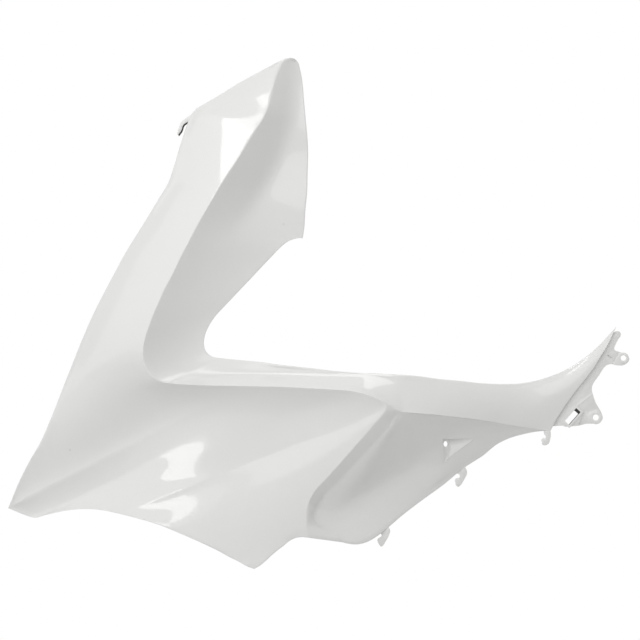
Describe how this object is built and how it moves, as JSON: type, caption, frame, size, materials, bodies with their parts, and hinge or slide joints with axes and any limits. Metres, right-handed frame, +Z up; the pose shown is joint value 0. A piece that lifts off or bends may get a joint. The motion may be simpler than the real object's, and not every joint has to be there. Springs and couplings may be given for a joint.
{
  "type": "scooter side panel",
  "caption": "Left outer side fairing of a maxi scooter: thin moulded shell with a raked blade, waist crease, recessed rear wing, stepped rear flange with screw tabs and edge hooks.",
  "frame": {"origin": "centre of the rear screw hole, on the outer face of its raised pad", "axes": "+X towards the rear of the scooter, +Z up, -Y outward through the painted face, as fitted on the left side"},
  "size_m": [0.686, 0.1045, 0.562],
  "materials": {
    "pearl_paint": "pearl white paint under clear coat over moulded plastic",
    "raw_plastic": "unpainted black moulded plastic on the back and in the cut walls"
  },
  "bodies": {
    "root": {"side_panel": "pearl_paint"}
  },
  "joints": []
}
